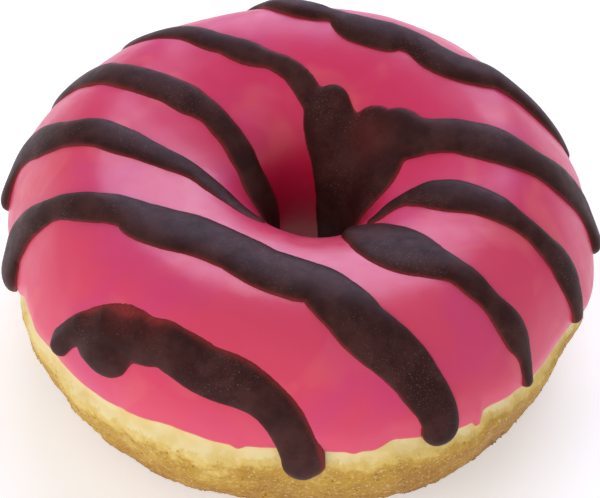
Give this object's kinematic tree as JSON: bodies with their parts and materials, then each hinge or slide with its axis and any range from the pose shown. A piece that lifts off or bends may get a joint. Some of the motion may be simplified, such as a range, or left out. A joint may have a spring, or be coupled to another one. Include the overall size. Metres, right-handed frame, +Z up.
{
  "type": "mini doughnut",
  "caption": "Small ring doughnut with pink icing over its upper half and dark chocolate drizzle run across it in slanting lines.",
  "frame": {"origin": "on the floor under the middle of the ring's outline", "axes": "+Z up out of the flat underside, -Y to the near side of the picture, +X to its right"},
  "size_m": [0.0676, 0.0626, 0.031],
  "materials": {
    "dough": "matte fried crust, pale cream just under the icing and golden brown below",
    "icing": "satin raspberry pink sugar icing with soft broad highlights",
    "chocolate": "set dark chocolate, nearly matte, with a fine bloom"
  },
  "bodies": {
    "root": {"dough_ring": "dough", "icing": "icing"}
  },
  "joints": []
}
